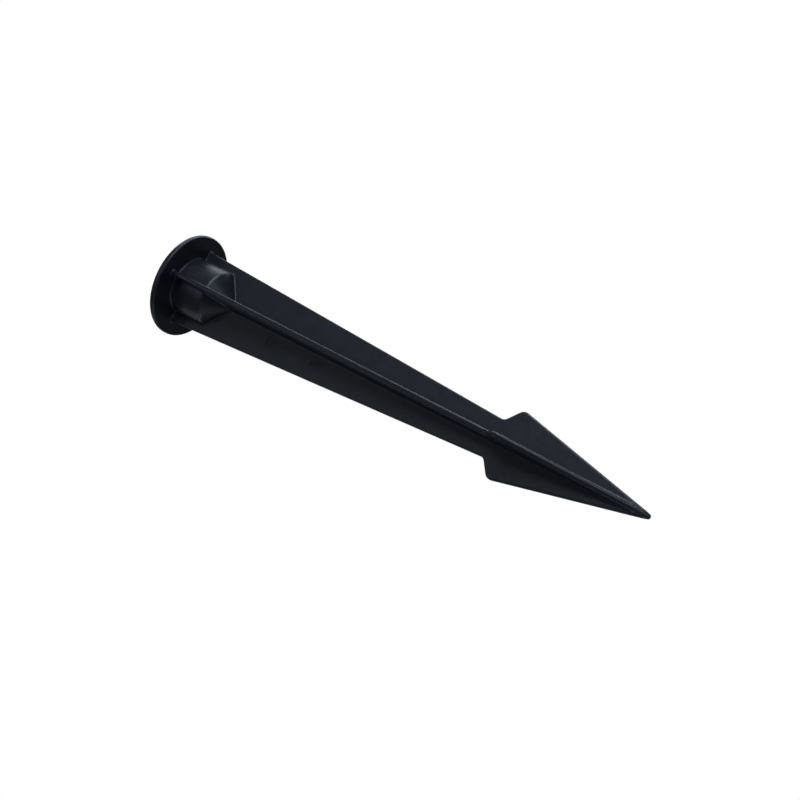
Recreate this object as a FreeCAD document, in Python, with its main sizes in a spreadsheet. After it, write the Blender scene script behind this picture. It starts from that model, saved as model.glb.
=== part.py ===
import FreeCAD, Part
import math
import os
import Sketcher

# A ground spike, moulded in one shot of plastic: a round flange with a socket for a pole, and
# four blades in a cross that taper down to a barbed arrowhead.  The whole moulding is formed
# first, so that its fillets run unbroken, and is then divided along its natural features.
# Units are millimetres.  The origin is the centre of the socket's mouth, on the flange's top
# face.  +Z leaves the socket, and the blades point down -Z.

DIMENSIONS = {
    # flange: its rim is well rounded above and lightly below
    "flange_radius": 19.75,
    "flange_thickness": 2.4,
    "rim_top_edge": 0.95,
    "rim_bottom_edge": 0.6,
    # socket: a tube with a closed conical end, around the pole's bore
    "tube_radius": 11.0,
    "tube_depth": 17.0,
    "cone_slope": 0.8,
    "crease_edge": 2.2,
    "bore_radius": 9.6,
    "bore_depth": 16.4,
    "mouth_chamfer": 0.5,
    # blades: the left and right ones are level plates, and the front and back ones, drawn from
    # the mould edgeways, thin out from the axis towards the flange's rim
    "side_thickness": 1.9,
    "fore_root_thickness": 2.26,
    "fore_rim_thickness": 1.54,
    # each width runs from the spike's axis to a blade's outer edge
    "shoulder_width": 14.92,
    "neck_width": 7.2,
    "neck_depth": 143.4,
    "neck_edge": 2.5,
    "barb_width": 13.22,
    "barb_depth": 148.3,
    "barb_edge": 2.8,
    "point_width": 0.87,
    "point_depth": 205.4,
    # rounding along the blades' outlines, and in the corners where features meet
    "side_shaft_round": 0.45,
    "side_head_round": 0.6,
    "side_point_round": 0.6,
    "fore_shaft_round": 0.6,
    "fore_head_round": 0.72,
    "fore_point_round": 0.86,
    "inner_fillet": 0.6,
    # the shallow round marks that two ejector pins leave on the left blade
    "mark_radius": 3.0,
    "mark_sink": 0.12,
    "upper_mark_width": 5.3,
    "upper_mark_depth": 47.4,
    "lower_mark_width": 6.1,
    "lower_mark_depth": 68.4,
    # where the moulding is divided
    "socket_margin": 1.0,
    "spine_top": 26.8,
    "head_top": 142.0,
    "tip_top": 199.0,
    # the point: a small core between the blades' ends, and the cone that sharpens them
    "core_end_radius": 0.9,
    "core_depth": 204.4,
    "sharp_top_radius": 2.6,
    "sharp_end_radius": 0.75,
    "sharp_edge": 0.6,
    # a length that reaches past the whole moulding on any side
    "reach": 60.0,
}

ORIGIN_POINT = (-1, 1)
NEAR = 0.01
PROBE = 0.02
SMOOTH = math.radians(8)
VOLUME_TOLERANCE = 1e-4
SIDES = {"right": 0, "back": 90, "left": 180, "front": 270}

doc = FreeCAD.newDocument("ground_spike")


# ---- the document's own helpers ------------------------------------------------------------

def make_sheet():
    """Put the driving dimensions in a spreadsheet, one aliased cell each."""
    sheet = doc.addObject("Spreadsheet::Sheet", "sheet")
    for row, (alias, value) in enumerate(DIMENSIONS.items(), start=1):
        sheet.set(f"A{row}", str(value))
        sheet.setAlias(f"A{row}", alias)
    doc.recompute()


def number(expression):
    """The present value of an expression over the sheet's cells."""
    return float(doc.sheet.evalExpression(expression))


def bind(item, expressions):
    """Bind an object's properties to expressions over the sheet."""
    for name, expression in expressions.items():
        item.setExpression(name, expression)
    doc.recompute()
    return item


def primitive(kind, name, expressions):
    return bind(doc.addObject(f"Part::{kind}", name), expressions)


def combine(kind, name, base, tool):
    """A Part::Cut or Part::Common of two objects."""
    result = doc.addObject(f"Part::{kind}", name)
    result.Base = base
    result.Tool = tool
    doc.recompute()
    return result


def fuse(name, shapes):
    result = doc.addObject("Part::MultiFuse", name)
    result.Shapes = shapes
    result.Refine = True
    doc.recompute()
    return result


def fillet(name, base, edges):
    """A Part::Fillet over (edge number, first radius, last radius) rows."""
    result = doc.addObject("Part::Fillet", name)
    result.Base = base
    result.Edges = edges
    doc.recompute()
    return result


# ---- sketched forms ------------------------------------------------------------------------

def outline(body, role, points):
    """Sketch a closed polygon on an origin plane, each corner bound by its two coordinates."""
    sketch = body.newObject("Sketcher::SketchObject", f"{body.Name}_outline")
    plane = next(item for item in body.Origin.OriginFeatures if item.Role == role)
    sketch.AttachmentSupport = [(plane, "")]
    sketch.MapMode = "FlatFace"
    corners = [FreeCAD.Vector(number(across), number(up), 0) for across, up in points]
    count = len(corners)
    for index, corner in enumerate(corners):
        sketch.addGeometry(Part.LineSegment(corner, corners[(index + 1) % count]), False)
    for index in range(count):
        sketch.addConstraint(Sketcher.Constraint("Coincident", index, 2, (index + 1) % count, 1))
    for index, (corner, expressions) in enumerate(zip(corners, points)):
        for kind, size, expression in zip(("DistanceX", "DistanceY"), corner, expressions):
            made = sketch.addConstraint(Sketcher.Constraint(kind, *ORIGIN_POINT, index, 1, size))
            sketch.setExpression(f"Constraints[{made}]", expression)
    doc.recompute()
    return sketch


def turned_form(name, points):
    """A body revolved about Z from a half section in the XZ plane."""
    body = doc.addObject("PartDesign::Body", name)
    sketch = outline(body, "XZ_Plane", points)
    turn = body.newObject("PartDesign::Revolution", f"{name}_turn")
    turn.Profile = sketch
    turn.ReferenceAxis = (sketch, ["V_Axis"])
    turn.Angle = 360
    doc.recompute()
    return body


def middle(edge):
    return edge.valueAt((edge.FirstParameter + edge.LastParameter) / 2)


def is_level(edge):
    return edge.BoundBox.ZLength < NEAR


def is_ring_at(edge, depth):
    return is_level(edge) and abs(edge.BoundBox.ZMax + depth) < NEAR


def round_edges(body, name, radius, wanted):
    """Round the edges of a body's last feature that the test picks out."""
    base = body.Tip
    names = [f"Edge{index}" for index, edge in enumerate(base.Shape.Edges, start=1) if wanted(edge)]
    rounding = body.newObject("PartDesign::Fillet", name)
    rounding.Base = (base, names)
    bind(rounding, {"Radius": radius})


def socket_form():
    """The solid outside of the flange, the tube and the tube's conical end."""
    body = turned_form("socket_form", [
        ("0", "0"),
        ("sheet.flange_radius", "0"),
        ("sheet.flange_radius", "-sheet.flange_thickness"),
        ("sheet.tube_radius", "-sheet.flange_thickness"),
        ("sheet.tube_radius", "-sheet.tube_depth"),
        ("0", "-sheet.tube_depth - sheet.tube_radius * sheet.cone_slope"),
    ])
    rim = number("sheet.flange_radius")
    for name, radius, depth in (("rim_top", "sheet.rim_top_edge", 0),
                                ("rim_bottom", "sheet.rim_bottom_edge", number("sheet.flange_thickness"))):
        round_edges(body, name, radius,
                    lambda edge: is_ring_at(edge, depth) and edge.BoundBox.XMax > rim - NEAR)
    crease = number("sheet.tube_depth")
    round_edges(body, "crease", "sheet.crease_edge", lambda edge: is_ring_at(edge, crease))
    return body


def bore_form():
    """The space inside the socket: a chamfered mouth, a straight bore and a conical end."""
    return turned_form("bore_form", [
        ("0", "0"),
        ("sheet.bore_radius + sheet.mouth_chamfer", "0"),
        ("sheet.bore_radius", "-sheet.mouth_chamfer"),
        ("sheet.bore_radius", "-sheet.bore_depth"),
        ("0", "-sheet.bore_depth - sheet.bore_radius * sheet.cone_slope"),
    ])


def plate_form(name, role, normal, thickness):
    """Two opposite blades with their barbs, as one flat plate through the spike's axis."""
    half = [
        ("sheet.shoulder_width", "-sheet.flange_thickness / 2"),
        ("sheet.neck_width", "-sheet.neck_depth"),
        ("sheet.barb_width", "-sheet.barb_depth"),
        ("sheet.point_width", "-sheet.point_depth"),
    ]
    mirrored = [("-" + across, down) for across, down in reversed(half)]
    body = doc.addObject("PartDesign::Body", name)
    sketch = outline(body, role, half + mirrored)
    pad = body.newObject("PartDesign::Pad", f"{name}_pad")
    pad.Profile = sketch
    pad.Midplane = True
    bind(pad, {"Length": thickness})
    for corner in ("neck", "barb"):
        depth = number(f"sheet.{corner}_depth")
        round_edges(body, f"{name}_{corner}", f"sheet.{corner}_edge",
                    lambda edge: abs(middle(edge).dot(normal)) < NEAR
                    and is_level(edge) and abs(middle(edge).z + depth) < NEAR)
    return body


def draft_form():
    """The room of the front and back blades: a long prism that thins out away from the axis."""
    body = doc.addObject("PartDesign::Body", "draft_form")
    root, rim = "sheet.fore_root_thickness / 2", "sheet.fore_rim_thickness / 2"
    sketch = outline(body, "XY_Plane", [
        (root, "0"),
        (rim, "sheet.flange_radius"),
        (f"-{rim}", "sheet.flange_radius"),
        (f"-{root}", "0"),
        (f"-{rim}", "-sheet.flange_radius"),
        (rim, "-sheet.flange_radius"),
    ])
    pad = body.newObject("PartDesign::Pad", "draft_pad")
    pad.Profile = sketch
    pad.Reversed = True
    bind(pad, {"Length": "sheet.point_depth"})
    return body


def rounded_plate(plate, family):
    """Round a plate's outline: lightly down the shaft, and more from the neck to the point."""
    hidden_top = -number("sheet.flange_thickness / 2") - NEAR
    stages = [(-number("sheet.neck_depth"), "shaft"), (-number("sheet.tip_top"), "head")]
    rows = []
    for index, edge in enumerate(plate.Shape.Edges, start=1):
        place = middle(edge)
        on_outline = min(abs(place.x), abs(place.y)) > NEAR and place.z < hidden_top
        if not on_outline:
            continue
        ends = (edge.valueAt(edge.FirstParameter), edge.valueAt(edge.LastParameter))
        names = [next((stage for limit, stage in stages if end.z > limit), "point") for end in ends]
        radii = [number(f"sheet.{family}_{name}_round") for name in names]
        rows.append((index, *radii))
    return fillet(f"{plate.Name}_rounded", plate, rows)


# ---- the whole moulding --------------------------------------------------------------------

def is_inner_corner(edge, shape):
    """True where two faces meet at an inward corner, so that plastic would be filleted."""
    faces = shape.ancestorsOfType(edge, Part.Face)
    if len(faces) != 2:
        return False
    place = middle(edge)
    first, second = (face.normalAt(*face.Surface.parameter(place)) for face in faces)
    if first.getAngle(second) < SMOOTH:
        return False
    return shape.isInside(place + (first - second) * PROBE, NEAR / 10, False)


def slab(name, top, bottom):
    """A square slab that holds everything between two depths."""
    return primitive("Box", name, {
        "Length": "2 * sheet.reach",
        "Width": "2 * sheet.reach",
        "Height": f"({bottom}) - ({top})",
        "Placement.Base.x": "-sheet.reach",
        "Placement.Base.y": "-sheet.reach",
        "Placement.Base.z": f"-({bottom})",
    })


def softened_form(crossed):
    """Fillet every inner corner above the point, where the blades stand proud enough."""
    shaft = combine("Common", "above_the_point", crossed, slab("upper_slab", "0", "sheet.tip_top"))
    radius = number("sheet.inner_fillet")
    rows = [(index, radius, radius) for index, edge in enumerate(shaft.Shape.Edges, start=1)
            if is_inner_corner(edge, shaft.Shape)]
    return fillet("softened", shaft, rows)


def ejector_mark(name):
    """A shallow round sink in the front face of the left blade."""
    mark = primitive("Cylinder", name, {
        "Radius": "sheet.mark_radius",
        "Height": "sheet.side_thickness",
        "Placement.Base.x": f"-sheet.{name}_width",
        "Placement.Base.y": "sheet.mark_sink - sheet.side_thickness / 2",
        "Placement.Base.z": f"-sheet.{name}_depth",
    })
    mark.Placement.Rotation = FreeCAD.Rotation(FreeCAD.Vector(1, 0, 0), 90)
    doc.recompute()
    return mark


def moulding_form(crossed):
    """The whole spike above its point, bored and marked."""
    marks = [ejector_mark(name) for name in ("upper_mark", "lower_mark")]
    hollows = fuse("hollows", [bore_form(), *marks])
    return combine("Cut", "moulding", softened_form(crossed), hollows)


def tip_form(plates):
    """The solid point: the blades' ends and a core that fills their corners, sharpened by a cone."""
    core = primitive("Cone", "tip_core", {
        "Radius1": "sheet.core_end_radius",
        "Radius2": "sqrt(pow(sheet.side_thickness / 2 + sheet.inner_fillet; 2)"
                   " + pow(sheet.fore_root_thickness / 2 + sheet.inner_fillet; 2)) - sheet.inner_fillet",
        "Height": "sheet.core_depth - sheet.tip_top",
        "Placement.Base.z": "-sheet.core_depth",
    })
    cone = turned_form("sharp_cone", [
        ("0", "-sheet.tip_top"),
        ("sheet.sharp_top_radius", "-sheet.tip_top"),
        ("sheet.sharp_end_radius", "-sheet.point_depth"),
        ("0", "-sheet.point_depth"),
    ])
    end = number("sheet.point_depth")
    round_edges(cone, "sharp_end", "sheet.sharp_edge", lambda edge: is_ring_at(edge, end))
    return combine("Common", "tip", fuse("tip_blades", [*plates, core]), cone)


# ---- the named features --------------------------------------------------------------------

def socket_zones():
    """The room of the tube, inside the flange and below it, and the room of the cone."""
    through = primitive("Cylinder", "tube_in_flange", {
        "Radius": "sheet.tube_radius",
        "Height": "sheet.flange_thickness",
        "Placement.Base.z": "-sheet.flange_thickness",
    })
    below = primitive("Cylinder", "tube_below_flange", {
        "Radius": "sheet.tube_radius + sheet.socket_margin",
        "Height": "sheet.tube_depth - sheet.flange_thickness",
        "Placement.Base.z": "-sheet.tube_depth",
    })
    cone = primitive("Cone", "cone_zone", {
        "Radius1": "sheet.side_thickness",
        "Radius2": "sheet.tube_radius + sheet.socket_margin",
        "Height": "sheet.spine_top - sheet.tube_depth",
        "Placement.Base.z": "-sheet.spine_top",
    })
    return fuse("tube_zone", [through, below]), cone


def spine_zone():
    half = "(sheet.fore_root_thickness / 2 + sheet.inner_fillet)"
    return primitive("Box", "spine_zone", {
        "Length": f"2 * {half}",
        "Width": f"2 * {half}",
        "Height": "sheet.tip_top - sheet.spine_top",
        "Placement.Base.x": f"-{half}",
        "Placement.Base.y": f"-{half}",
        "Placement.Base.z": "-sheet.tip_top",
    })


def side_zone(name, angle, top, bottom):
    """The room of one blade or barb, outside the spine, on the side that the angle faces."""
    zone = primitive("Box", name, {
        "Length": "sheet.reach",
        "Width": "sheet.tube_radius",
        "Height": f"{bottom} - {top}",
    })
    start = FreeCAD.Vector(number("sheet.fore_root_thickness / 2 + sheet.inner_fillet"),
                           -number("sheet.tube_radius / 2"), -number(bottom))
    turn = FreeCAD.Rotation(FreeCAD.Vector(0, 0, 1), angle)
    zone.Placement = FreeCAD.Placement(turn.multVec(start), turn)
    doc.recompute()
    return zone


def divide(moulding, tip):
    """Every feature of the moulding as its own solid, by name."""
    tube_zone, cone_zone = socket_zones()
    socket_zone = fuse("socket_zone", [tube_zone, cone_zone])
    flange_slab = combine("Common", "flange_slab", moulding,
                          slab("flange_zone", "0", "sheet.flange_thickness"))
    features = {
        "flange": combine("Cut", "flange", flange_slab, tube_zone),
        "socket_tube": combine("Common", "socket_tube", moulding, tube_zone),
        "socket_cone": combine("Common", "socket_cone", moulding, cone_zone),
        "spine": combine("Common", "spine", moulding, spine_zone()),
        "tip": tip,
    }
    for side, angle in SIDES.items():
        blade_zone = side_zone(f"{side}_blade_zone", angle, "sheet.flange_thickness", "sheet.head_top")
        whole = combine("Common", f"{side}_blade_stem", moulding, blade_zone)
        features[f"blade_{side}"] = combine("Cut", f"blade_{side}", whole, socket_zone)
        barb_zone = side_zone(f"{side}_barb_zone", angle, "sheet.head_top", "sheet.tip_top")
        features[f"barb_{side}"] = combine("Common", f"barb_{side}", moulding, barb_zone)
    return features


def check(features, moulding, tip):
    """Stop on any failed object, on a bad solid, or if the features don't add up."""
    for item in doc.Objects:
        if {"Invalid", "Error"} & set(item.State):
            raise RuntimeError(f"{item.Name} did not compute: {item.State}")
    for name, feature in features.items():
        if feature.Shape.isNull() or not feature.Shape.isValid() or len(feature.Shape.Solids) != 1:
            raise RuntimeError(f"{name} is not one valid solid")
    total = sum(feature.Shape.Volume for feature in features.values())
    whole = moulding.Shape.Volume + tip.Shape.Volume
    if abs(total - whole) > whole * VOLUME_TOLERANCE:
        raise RuntimeError(f"the features hold {total:.1f} mm3 of the moulding's {whole:.1f}")


def write(features):
    os.makedirs("parts", exist_ok=True)
    for name, feature in features.items():
        feature.Label = name
        feature.Shape.exportStep(f"parts/{name}.step")


make_sheet()
side_plate = plate_form("side_plate", "XZ_Plane", FreeCAD.Vector(0, 1, 0), "sheet.side_thickness")
fore_plate = plate_form("fore_plate", "YZ_Plane", FreeCAD.Vector(1, 0, 0), "sheet.fore_root_thickness")
plates = [
    rounded_plate(side_plate, "side"),
    rounded_plate(combine("Common", "drafted_plate", fore_plate, draft_form()), "fore"),
]
moulding = moulding_form(fuse("crossed", [socket_form(), *plates]))
tip = tip_form(plates)
features = divide(moulding, tip)
check(features, moulding, tip)
write(features)
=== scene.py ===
import math

import bpy
from mathutils import Matrix, Quaternion, Vector


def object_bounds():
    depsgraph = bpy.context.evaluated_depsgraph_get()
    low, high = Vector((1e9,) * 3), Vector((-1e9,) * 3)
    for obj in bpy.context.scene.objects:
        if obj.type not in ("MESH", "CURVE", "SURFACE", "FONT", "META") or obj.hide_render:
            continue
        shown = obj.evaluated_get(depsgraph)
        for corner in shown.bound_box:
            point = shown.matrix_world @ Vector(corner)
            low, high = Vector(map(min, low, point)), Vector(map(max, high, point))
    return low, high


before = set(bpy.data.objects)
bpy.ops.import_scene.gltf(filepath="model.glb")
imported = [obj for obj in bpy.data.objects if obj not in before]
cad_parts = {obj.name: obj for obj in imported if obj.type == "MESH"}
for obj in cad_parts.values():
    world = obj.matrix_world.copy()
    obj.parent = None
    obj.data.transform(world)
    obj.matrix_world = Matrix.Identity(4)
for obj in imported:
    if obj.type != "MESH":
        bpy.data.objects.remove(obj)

# The looks of a moulded black plastic ground spike.  Every CAD node keeps its own mesh and gets a
# procedural plastic.  Metres, in the CAD's frame: +Z leaves the socket and the point is at -Z.

CAD_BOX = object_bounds()
LOW, HIGH = (Vector(corner) for corner in CAD_BOX)

# ---- camera: where it stands, and how it is turned ------------------------------------------

CAMERA_PLACE = Vector((-0.0646, -0.5417, -0.4134))
CAMERA_HEADING = math.radians(6.53)
CAMERA_PITCH = math.radians(29.54)
CAMERA_ROLL = math.radians(-63.16)
CAMERA_NEAR = 0.01
SENSOR_MM = 36.0
LENS_MM = 81.6

# ---- lights: name, azimuth from +X towards -Y, elevation towards +Z, and watts --------------

LIGHT_DISTANCE = 0.6
SOFTBOX_WIDTH = 0.22
COOL = (0.77, 0.85, 1.0)
AMBIENT = 0.10
SOFTBOXES = (
    ("key_inner", 20, 14, 0.52),
    ("key", 40, 14, 0.72),
    ("key_wing", 60, 8, 0.64),
    ("key_low", 60, -15, 0.33),
    ("rear_high", -20, 36, 0.45),
    ("rear_low", -40, 14, 0.57),
    ("front_high", 100, 36, 0.153),
    ("left_high", 200, 30, 0.175),
    ("left_low", 180, -10, 0.31),
    ("left_foot", 185, -45, 0.12),
    ("top", 0, 58, 0.51),
    ("foot", 45, -45, 0.44),
)
BACK_SOFTBOXES = (
    ("back", 275, -12, 0.30),
    ("back_right", 318, -15, 0.45),
)

# ---- stage ----------------------------------------------------------------------------------

FLOOR_DROP = 0.7
FLOOR_HALF = 6.0
BACKDROP_WHITE = 1.0
FLOOR_WHITE = 0.93


def camera_turn():
    """The camera's rotation from its heading (from +Y towards +X), its pitch and its roll."""
    level = math.cos(CAMERA_PITCH)
    forward = Vector((math.sin(CAMERA_HEADING) * level, math.cos(CAMERA_HEADING) * level,
                      math.sin(CAMERA_PITCH)))
    upright = forward.to_track_quat("-Z", "Y")
    return upright @ Quaternion((0, 0, 1), CAMERA_ROLL)


def make_camera():
    """The photo's viewpoint, below the flange."""
    data = bpy.data.cameras.new("camera")
    data.sensor_width = SENSOR_MM
    data.lens = LENS_MM
    data.clip_start = CAMERA_NEAR
    camera = bpy.data.objects.new("camera", data)
    camera.matrix_world = Matrix.Translation(CAMERA_PLACE) @ camera_turn().to_matrix().to_4x4()
    bpy.context.scene.collection.objects.link(camera)
    bpy.context.scene.camera = camera


# ---- node graphs ----------------------------------------------------------------------------

class Graph:
    """A small helper that adds nodes and links them by socket name."""

    def __init__(self, tree):
        self.tree = tree
        tree.nodes.clear()

    def add(self, kind, settings=None, **inputs):
        node = self.tree.nodes.new(kind)
        for name, value in (settings or {}).items():
            setattr(node, name, value)
        for name, value in inputs.items():
            self.put(node, name.replace("_", " "), value)
        return node

    def put(self, node, socket, value):
        target = node.inputs[int(socket)] if socket.isdigit() else node.inputs[socket]
        if isinstance(value, bpy.types.NodeSocket):
            self.tree.links.new(value, target)
        else:
            target.default_value = value

    def maths(self, operation, *values):
        node = self.tree.nodes.new("ShaderNodeMath")
        node.operation = operation
        for index, value in enumerate(values):
            self.put(node, str(index), value)
        return node.outputs[0]

    def spread(self, value, low, high, start=0.0, end=1.0):
        """Map a value from start..end to low..high."""
        node = self.add("ShaderNodeMapRange", Value=value)
        node.inputs["From Min"].default_value = start
        node.inputs["From Max"].default_value = end
        node.inputs["To Min"].default_value = low
        node.inputs["To Max"].default_value = high
        return node.outputs["Result"]

    def dot(self, first, second):
        node = self.add("ShaderNodeVectorMath", {"operation": "DOT_PRODUCT"})
        self.put(node, "0", first)
        self.put(node, "1", second)
        return node.outputs["Value"]

    def noise(self, place, scale, detail, rough=0.55):
        return self.add("ShaderNodeTexNoise", Vector=place, Scale=scale, Detail=detail,
                        Roughness=rough).outputs["Fac"]

    def blend(self, share, first, second):
        node = self.add("ShaderNodeMix", {"data_type": "RGBA"})
        self.put(node, "Factor", share)
        self.put(node, "6", first)
        self.put(node, "7", second)
        return node.outputs[2]


# ---- the plastic ----------------------------------------------------------------------------

INK = (0.0066, 0.0094, 0.0130, 1.0)
SOOT = (0.0104, 0.0110, 0.0172, 1.0)
# The colour below lightens edges and tight corners: partly rubbed wear, partly a painted sheen.
RUBBED_AND_SHEEN = (0.022, 0.026, 0.034, 1.0)
HUE_DRIFT = (0.35, 0.65)            # the part of the mottling's range that turns INK into SOOT
# How much of that lighter edge colour (rubbed wear and painted sheen) is mixed in.
RUBBED_AND_SHEEN_SHARE = 0.35
EDGE_REACH = 0.0007
EDGE_SAMPLES = 6
REFRACTION = 1.5

FACE_ROUGHNESS = 0.40
EDGE_ROUGHNESS = 0.28
POLISH_SHARPNESS = 3.0
EDGE_CALM = 2.5
MOTTLE_SWAY = 0.10                  # how far mottling and streaks move the roughness, either way
STREAK_SWAY = 0.03

MARK_CENTRES = ((-0.0053, -0.0474), (-0.0061, -0.0684))     # across (X) and up (Z)
MARK_FACE = -0.00083                # the marks' floor, a little behind the blade's front (Y)
MARK_RADIUS = 0.003
MARK_FADE = (0.8, 1.1)              # in radii
MARK_DULLING = 0.06

# Noise scales are per metre: 140 gives patches about 7 mm wide.
MOTTLE = {"scale": 140.0, "detail": 5.0, "rough": 0.6}
STREAKS = {"scale": 420.0, "detail": 3.0}
STREAK_STRETCH = (1.0, 1.0, 0.12)
GRAIN = {"scale": 2600.0, "detail": 2.0}
GRAIN_DEPTH = 0.00002
GRAIN_STRENGTH = 0.35
WAVES = {"scale": 140.0, "detail": 3.0}
WAVE_DEPTH = 0.0004
WAVE_STRENGTH = 0.75


def edge_wear(graph):
    """Mask for the lighter edge colour, partly rubbed wear and partly a painted sheen: 0 on flat
    faces, rising towards 1 along rounded edges and in tight corners.
    """
    softened = graph.add("ShaderNodeBevel", {"samples": EDGE_SAMPLES}, Radius=EDGE_REACH).outputs[0]
    true = graph.add("ShaderNodeNewGeometry").outputs["Normal"]
    return graph.spread(graph.dot(softened, true), 1.0, 0.0)


def outward_facing(graph, place):
    """How squarely a point faces away from the spike's axis: 1 on a blade's edge, 0 on its faces."""
    level = graph.add("ShaderNodeVectorMath", {"operation": "MULTIPLY"})
    graph.put(level, "0", place)
    graph.put(level, "1", (1, 1, 0))
    outward = graph.add("ShaderNodeVectorMath", {"operation": "NORMALIZE"})
    graph.put(outward, "0", level.outputs[0])
    normal = graph.add("ShaderNodeNewGeometry").outputs["Normal"]
    return graph.maths("MAXIMUM", graph.dot(outward.outputs[0], normal), 0.0)


def ejector_marks(graph, place):
    """1 inside the two round ejector-pin marks on the left blade's front, fading at the rim."""
    full, gone = (MARK_RADIUS * share for share in MARK_FADE)
    marks = 0.0
    for across, up in MARK_CENTRES:
        reach = graph.add("ShaderNodeVectorMath", {"operation": "DISTANCE"})
        graph.put(reach, "0", place)
        graph.put(reach, "1", (across, MARK_FACE, up))
        near = graph.spread(reach.outputs["Value"], 1.0, 0.0, full, gone)
        marks = graph.maths("MAXIMUM", near, marks)
    return marks


def plastic_colour(graph, mottle):
    """Near-black that drifts between two hues, and is lighter along edges and in tight corners,
    partly as rubbed wear and partly as a painted sheen.
    """
    drift = graph.spread(mottle, 0.0, 1.0, *HUE_DRIFT)
    # Lighter along edges and in tight corners: partly rubbed wear, partly a painted sheen.
    rubbed_and_sheen = graph.maths("MULTIPLY", edge_wear(graph), RUBBED_AND_SHEEN_SHARE)
    return graph.blend(rubbed_and_sheen, graph.blend(drift, INK, SOOT), RUBBED_AND_SHEEN)


def plastic_roughness(graph, place, mottle, facing, calm):
    """Uneven sheen with streaks along the spike, smoother where a blade's edge faces outwards."""
    streaked = graph.add("ShaderNodeMapping", Vector=place, Scale=STREAK_STRETCH).outputs[0]
    patches = graph.spread(mottle, -MOTTLE_SWAY, MOTTLE_SWAY)
    streaks = graph.spread(graph.noise(streaked, **STREAKS), -STREAK_SWAY, STREAK_SWAY)
    uneven = graph.maths("MULTIPLY", graph.maths("ADD", patches, streaks), calm)
    polish = graph.maths("POWER", facing, POLISH_SHARPNESS)
    return graph.maths("ADD", uneven, graph.spread(polish, FACE_ROUGHNESS, EDGE_ROUGHNESS))


def plastic_relief(graph, place, calm):
    """The normal of fine moulded grain over broad soft waves."""
    fine = graph.add("ShaderNodeBump", Height=graph.noise(place, **GRAIN), Distance=GRAIN_DEPTH,
                     Strength=graph.maths("MULTIPLY", calm, GRAIN_STRENGTH))
    broad = graph.add("ShaderNodeBump", Height=graph.noise(place, **WAVES), Distance=WAVE_DEPTH,
                      Strength=graph.maths("MULTIPLY", calm, WAVE_STRENGTH), Normal=fine.outputs[0])
    return broad.outputs[0]


def moulded_plastic(name, has_blade_edge=False, has_marks=False):
    """Satin black moulded plastic.  Its texture calms down on the outer edges of blades."""
    material = bpy.data.materials.new(name)
    material.use_nodes = True
    graph = Graph(material.node_tree)
    place = graph.add("ShaderNodeTexCoord").outputs["Object"]
    facing = outward_facing(graph, place) if has_blade_edge else 0.0
    marks = ejector_marks(graph, place) if has_marks else 0.0
    calm = graph.add("ShaderNodeClamp", Value=graph.maths("MULTIPLY_ADD", facing, -EDGE_CALM, 1.0))
    calm = calm.outputs[0]
    mottle = graph.noise(place, **MOTTLE)
    rough = plastic_roughness(graph, place, mottle, facing, calm)
    surface = graph.add("ShaderNodeBsdfPrincipled", Base_Color=plastic_colour(graph, mottle),
                        Roughness=graph.maths("MULTIPLY_ADD", marks, MARK_DULLING, rough),
                        Normal=plastic_relief(graph, place, calm), IOR=REFRACTION)
    output = graph.add("ShaderNodeOutputMaterial")
    graph.put(output, "Surface", surface.outputs[0])
    return material


def dress_nodes():
    """Give every CAD node its plastic: only fins have a blade edge, and only one has pin marks."""
    body = moulded_plastic("moulded_body")
    fins = moulded_plastic("moulded_fins", has_blade_edge=True)
    marked = moulded_plastic("moulded_marked_fin", has_blade_edge=True, has_marks=True)
    for name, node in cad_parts.items():
        plastic = fins if name.startswith(("blade", "barb")) else body
        node.data.materials.clear()
        node.data.materials.append(marked if name == "blade_left" else plastic)


# ---- stage and light ------------------------------------------------------------------------

def seen_by_camera(graph, shown, other):
    """One shader for camera rays and another for the light that reaches the object."""
    path = graph.add("ShaderNodeLightPath")
    mix = graph.add("ShaderNodeMixShader")
    graph.put(mix, "0", path.outputs["Is Camera Ray"])
    graph.put(mix, "1", other)
    graph.put(mix, "2", shown)
    return mix.outputs[0]


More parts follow.
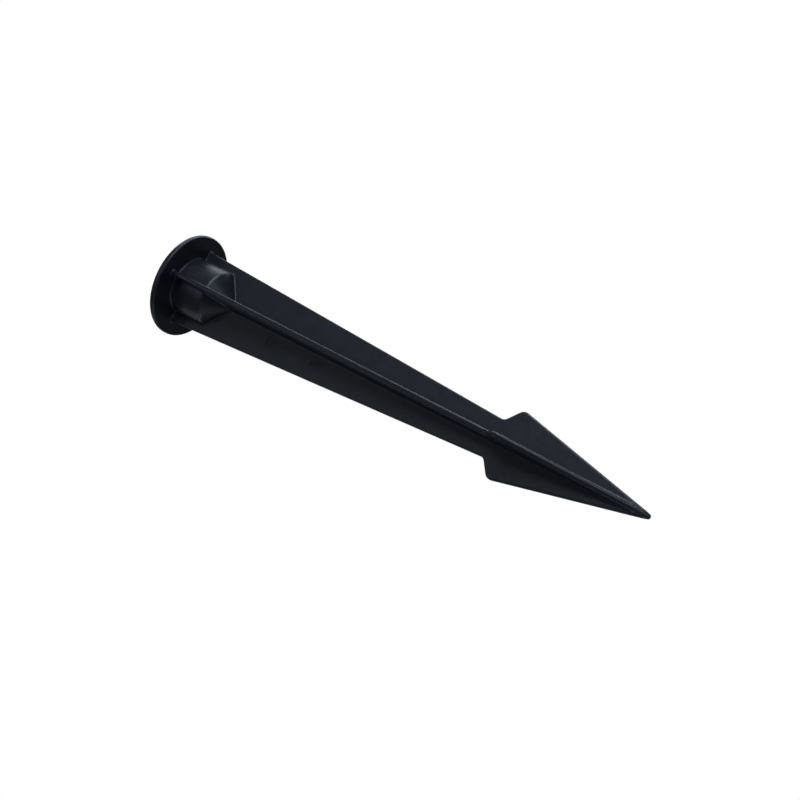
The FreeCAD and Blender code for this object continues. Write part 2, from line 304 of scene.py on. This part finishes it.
def make_floor():
    """A pale floor well below the spike, which the photo's camera doesn't see."""
    height = LOW.z - FLOOR_DROP
    mesh = bpy.data.meshes.new("floor")
    signs = ((-1, -1), (1, -1), (1, 1), (-1, 1))
    corners = [(x * FLOOR_HALF, y * FLOOR_HALF, height) for x, y in signs]
    mesh.from_pydata(corners, [], [(0, 1, 2, 3)])
    floor = bpy.data.objects.new("floor", mesh)
    bpy.context.scene.collection.objects.link(floor)
    material = bpy.data.materials.new("pale_floor")
    material.use_nodes = True
    graph = Graph(material.node_tree)
    glow = graph.add("ShaderNodeEmission", Color=(FLOOR_WHITE, FLOOR_WHITE, FLOOR_WHITE, 1.0))
    dim = graph.add("ShaderNodeEmission", Color=(*COOL, 1.0), Strength=AMBIENT)
    output = graph.add("ShaderNodeOutputMaterial")
    graph.put(output, "Surface", seen_by_camera(graph, glow.outputs[0], dim.outputs[0]))
    mesh.materials.append(material)


def make_world():
    """A plain white backdrop that lights the spike only dimly."""
    world = bpy.data.worlds.new("studio")
    world.use_nodes = True
    graph = Graph(world.node_tree)
    white = graph.add("ShaderNodeBackground", Color=(1, 1, 1, 1), Strength=BACKDROP_WHITE)
    dim = graph.add("ShaderNodeBackground", Color=(*COOL, 1.0), Strength=AMBIENT)
    output = graph.add("ShaderNodeOutputWorld")
    graph.put(output, "Surface", seen_by_camera(graph, white.outputs[0], dim.outputs[0]))
    bpy.context.scene.world = world


def softbox(name, azimuth, elevation, power):
    """A round area light that faces the middle of the spike."""
    data = bpy.data.lights.new(name, "AREA")
    data.shape = "DISK"
    data.size = SOFTBOX_WIDTH
    data.energy = power
    data.color = COOL
    light = bpy.data.objects.new(name, data)
    turn, rise = math.radians(azimuth), math.radians(elevation)
    away = Vector((math.cos(rise) * math.cos(turn), -math.cos(rise) * math.sin(turn), math.sin(rise)))
    light.location = (LOW + HIGH) / 2 + away * LIGHT_DISTANCE
    light.rotation_mode = "QUATERNION"
    light.rotation_quaternion = away.to_track_quat("Z", "Y")
    light.visible_camera = False
    bpy.context.scene.collection.objects.link(light)
    return light


def make_lights():
    """The photo's light, and light for the back that leaves the flange's underside dark."""
    for name, *setting in SOFTBOXES:
        softbox(name, *setting)
    unlit = bpy.data.collections.new("not_lit_from_behind")
    unlit.objects.link(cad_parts["flange"])
    unlit.collection_objects[0].light_linking.link_state = "EXCLUDE"
    for name, *setting in BACK_SOFTBOXES:
        softbox(name, *setting).light_linking.receiver_collection = unlit


make_floor()
make_world()
make_lights()
make_camera()
dress_nodes()
bpy.context.scene.view_settings.view_transform = "Standard"
